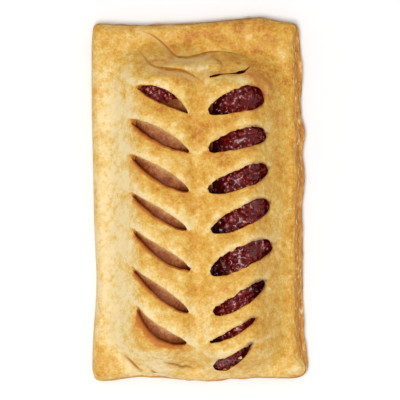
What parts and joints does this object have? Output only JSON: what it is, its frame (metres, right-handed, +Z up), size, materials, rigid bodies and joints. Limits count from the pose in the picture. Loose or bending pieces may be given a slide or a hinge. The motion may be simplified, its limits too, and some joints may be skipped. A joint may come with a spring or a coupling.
{
  "type": "vegan frikandel roll",
  "caption": "Baked puff-pastry roll folded over a sausage and a ridge of curry sauce, with a chevron of slits through the lid that shows both fillings.",
  "frame": {"origin": "on the surface that the roll lies on, under the middle of its bounding box", "axes": "+Y along the roll, towards its folded-over far end; +X from the sausage's side to the sauce's side; +Z up"},
  "size_m": [0.0936, 0.1572, 0.0294],
  "materials": {
    "pastry": "golden-brown egg-washed puff pastry, satin, flaky at the cut edges",
    "frikandel": "fine-grained brown sausage, slightly greasy",
    "curry_sauce": "dark red-brown chunky curry sauce, wet"
  },
  "bodies": {
    "root": {"pastry": "pastry", "frikandel": "frikandel", "curry_sauce": "curry_sauce"}
  },
  "joints": []
}
